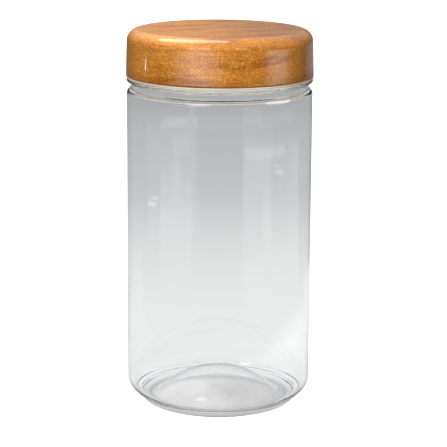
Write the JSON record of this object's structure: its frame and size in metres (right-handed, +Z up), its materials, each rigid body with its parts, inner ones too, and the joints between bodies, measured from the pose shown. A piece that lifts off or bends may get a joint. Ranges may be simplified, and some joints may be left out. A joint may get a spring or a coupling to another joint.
{
  "type": "plastic storage jar with screw lid",
  "caption": "Clear straight-sided plastic storage jar with a domed base, neck bead and helical thread, closed by a smooth wood-look screw lid with an inner cap and sealing wad.",
  "frame": {"origin": "middle of the standing ring, on the surface the jar stands on", "axes": "+Z up along the jar's axis; the pictured front faces -Y"},
  "size_m": [0.093, 0.093, 0.1884],
  "materials": {
    "clear_plastic": "clear, glossy, blown",
    "wood_look_plastic": "printed fine wood grain under a satin clear coat",
    "cream_plastic": "smooth moulded",
    "foam": "fine closed-cell foam"
  },
  "bodies": {
    "jar": {"jar": "clear_plastic"},
    "seal": {"seal_wad": "foam"},
    "lid": {"lid_shell": "wood_look_plastic", "inner_cap": "cream_plastic"}
  },
  "joints": [
    {"name": "lid_rise", "type": "slide", "parent": "jar", "child": "seal", "axis": [0, 0, 1], "range_m": [0, 0.02541]},
    {"name": "lid_turn", "type": "hinge", "parent": "seal", "child": "lid", "pos_m": [0, 0, 0.1733], "axis": [0, 0, 1], "range_deg": [0, 1800]}
  ],
  "couplings": [
    {"joint": "lid_rise", "follows": "lid_turn", "m_per_rad": 0.00080851}
  ]
}
